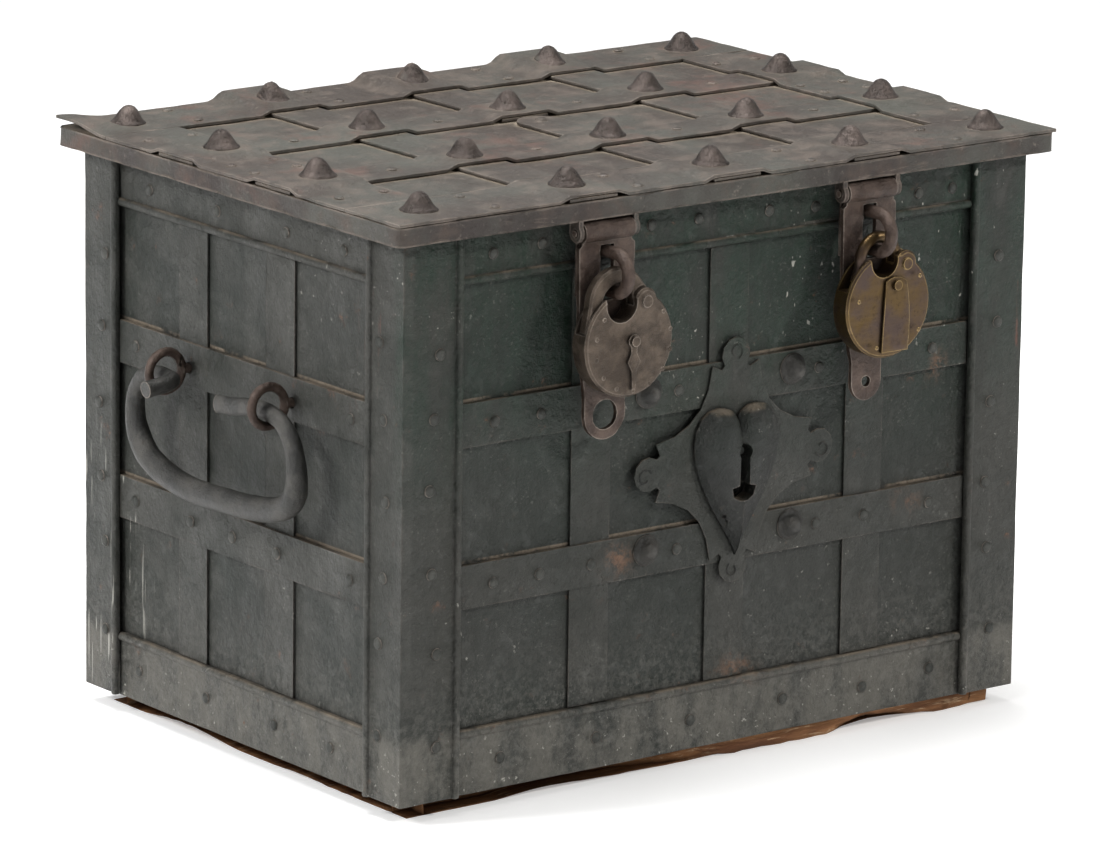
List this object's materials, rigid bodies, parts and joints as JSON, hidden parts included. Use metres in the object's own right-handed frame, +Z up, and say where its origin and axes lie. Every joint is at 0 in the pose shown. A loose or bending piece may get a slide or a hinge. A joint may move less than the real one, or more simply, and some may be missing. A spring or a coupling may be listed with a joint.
{
  "type": "strongbox",
  "caption": "Antique sheet-iron strongbox with riveted straps, studded hinged lid, hasps with padlocks, lid lock and bail handles.",
  "frame": {"origin": "floor, under the middle of the chest", "axes": "+X to the right seen from the front, +Y to the back, +Z up"},
  "size_m": [0.6172, 0.438, 0.4218],
  "materials": {
    "chest_iron": "worn dark green-grey paint over iron",
    "lid_iron": "rubbed dark paint over brown iron",
    "fittings_iron": "wrought iron with brown patina",
    "lock_iron": "bare iron, lightly oiled",
    "padlock_iron": "dark bronze-brown patina, bright rubbed edges",
    "brass": "tarnished brass",
    "base_timber": "rough aged softwood"
  },
  "bodies": {
    "chest": {"base_board": "base_timber", "bottom_plate": "chest_iron", "front_plate": "chest_iron", "back_plate": "chest_iron", "left_plate": "chest_iron", "right_plate": "chest_iron", "corner_strap_front_left": "chest_iron", "corner_strap_back_left": "chest_iron", "corner_strap_front_right": "chest_iron", "corner_strap_back_right": "chest_iron", "top_band": "chest_iron", "bottom_band": "chest_iron", "front_lattice": "chest_iron", "back_lattice": "chest_iron", "left_lattice": "chest_iron", "right_lattice": "chest_iron", "catch_rim": "lock_iron", "escutcheon_plate": "chest_iron", "heart_boss": "chest_iron", "staple_base_left": "fittings_iron", "staple_base_right": "fittings_iron", "left_eye_front": "fittings_iron", "left_eye_back": "fittings_iron", "right_eye_front": "fittings_iron", "right_eye_back": "fittings_iron", "chest_hinge_left": "fittings_iron", "chest_hinge_right": "fittings_iron"},
    "lid": {"lid_rim": "lid_iron", "lid_plate": "lid_iron", "lid_border_front": "lid_iron", "lid_border_back": "lid_iron", "lid_border_left": "lid_iron", "lid_border_right": "lid_iron", "lid_long_strap_front": "lid_iron", "lid_long_strap_back": "lid_iron", "lid_cross_strap_left": "lid_iron", "lid_cross_strap_middle_front": "lid_iron", "lid_cross_strap_middle_back": "lid_iron", "lid_cross_strap_right": "lid_iron", "lid_hinge_left": "fittings_iron", "lid_hinge_right": "fittings_iron", "lock_plate": "lock_iron"},
    "keyhole_cover": {"keyhole_cover": "lid_iron"},
    "lock_hub": {"lock_hub": "lock_iron"},
    "bolt_front": {"bolt_front": "lock_iron"},
    "bolt_right": {"bolt_right": "lock_iron"},
    "bolt_back": {"bolt_back": "lock_iron"},
    "bolt_left": {"bolt_left": "lock_iron"},
    "left_handle": {"left_handle": "fittings_iron"},
    "right_handle": {"right_handle": "fittings_iron"},
    "hasp_left": {"hasp_left": "fittings_iron", "staple_loop_left": "fittings_iron"},
    "shackle_left": {"shackle_left": "padlock_iron"},
    "padlock_left": {"padlock_body_left": "padlock_iron"},
    "drop_left": {"drop_cover_left": "padlock_iron"},
    "hasp_right": {"hasp_right": "fittings_iron", "staple_loop_right": "fittings_iron"},
    "shackle_right": {"shackle_right": "brass"},
    "padlock_right": {"padlock_body_right": "brass"},
    "drop_right": {"drop_cover_right": "brass"}
  },
  "joints": [
    {"name": "lid_hinge", "type": "hinge", "parent": "chest", "child": "lid", "pos_m": [0, 0.206, 0.388], "axis": [-1, 0, 0], "range_deg": [0, 105]},
    {"name": "keyhole_cover_pivot", "type": "hinge", "parent": "lid", "child": "keyhole_cover", "pos_m": [0, 0.018, 0.4055], "axis": [0, 0, 1], "range_deg": [0, 70]},
    {"name": "lock_hub_turn", "type": "hinge", "parent": "lid", "child": "lock_hub", "pos_m": [0, 0, 0.376], "axis": [0, 0, 1], "range_deg": [0, 90]},
    {"name": "hasp_left_hinge", "type": "hinge", "parent": "lid", "child": "hasp_left", "pos_m": [-0.109, -0.1955, 0.384], "axis": [-1, 0, 0], "range_deg": [0, 90]},
    {"name": "shackle_left_swing", "type": "hinge", "parent": "hasp_left", "child": "shackle_left", "pos_m": [-0.109, -0.2075, 0.3558], "axis": [-1, 0, 0], "range_deg": [0, 60]},
    {"name": "padlock_left_open", "type": "hinge", "parent": "shackle_left", "child": "padlock_left", "pos_m": [-0.0885, -0.2075, 0.337], "axis": [0, -1, 0], "range_deg": [0, 60]},
    {"name": "drop_left_swing", "type": "hinge", "parent": "padlock_left", "child": "drop_left", "pos_m": [-0.1, -0.2165, 0.312], "axis": [0, 1, 0], "range_deg": [0, 90]},
    {"name": "hasp_right_hinge", "type": "hinge", "parent": "lid", "child": "hasp_right", "pos_m": [0.114, -0.1955, 0.384], "axis": [-1, 0, 0], "range_deg": [0, 90]},
    {"name": "shackle_right_swing", "type": "hinge", "parent": "hasp_right", "child": "shackle_right", "pos_m": [0.114, -0.2075, 0.3539], "axis": [-1, 0, 0], "range_deg": [0, 60]},
    {"name": "padlock_right_open", "type": "hinge", "parent": "shackle_right", "child": "padlock_right", "pos_m": [0.1335, -0.2075, 0.3345], "axis": [0, -1, 0], "range_deg": [0, 60]},
    {"name": "drop_right_swing", "type": "hinge", "parent": "padlock_right", "child": "drop_right", "pos_m": [0.123, -0.2165, 0.3215], "axis": [0, 1, 0], "range_deg": [0, 60]},
    {"name": "handle_left_swing", "type": "hinge", "parent": "chest", "child": "left_handle", "pos_m": [-0.281, 0, 0.257], "axis": [0, 1, 0], "range_deg": [0, 100]},
    {"name": "handle_right_swing", "type": "hinge", "parent": "chest", "child": "right_handle", "pos_m": [0.281, 0, 0.257], "axis": [0, -1, 0], "range_deg": [0, 100]},
    {"name": "bolt_front_slide", "type": "slide", "parent": "lid", "child": "bolt_front", "axis": [0, -1, 0], "range_m": [0, 0.016]},
    {"name": "bolt_right_slide", "type": "slide", "parent": "lid", "child": "bolt_right", "axis": [1, 0, 0], "range_m": [0, 0.016]},
    {"name": "bolt_back_slide", "type": "slide", "parent": "lid", "child": "bolt_back", "axis": [0, 1, 0], "range_m": [0, 0.016]},
    {"name": "bolt_left_slide", "type": "slide", "parent": "lid", "child": "bolt_left", "axis": [-1, 0, 0], "range_m": [0, 0.016]}
  ],
  "couplings": [
    {"joint": "bolt_front_slide", "follows": "lock_hub_turn", "m_per_rad": 0.010185},
    {"joint": "bolt_right_slide", "follows": "lock_hub_turn", "m_per_rad": 0.010185},
    {"joint": "bolt_back_slide", "follows": "lock_hub_turn", "m_per_rad": 0.010185},
    {"joint": "bolt_left_slide", "follows": "lock_hub_turn", "m_per_rad": 0.010185}
  ]
}
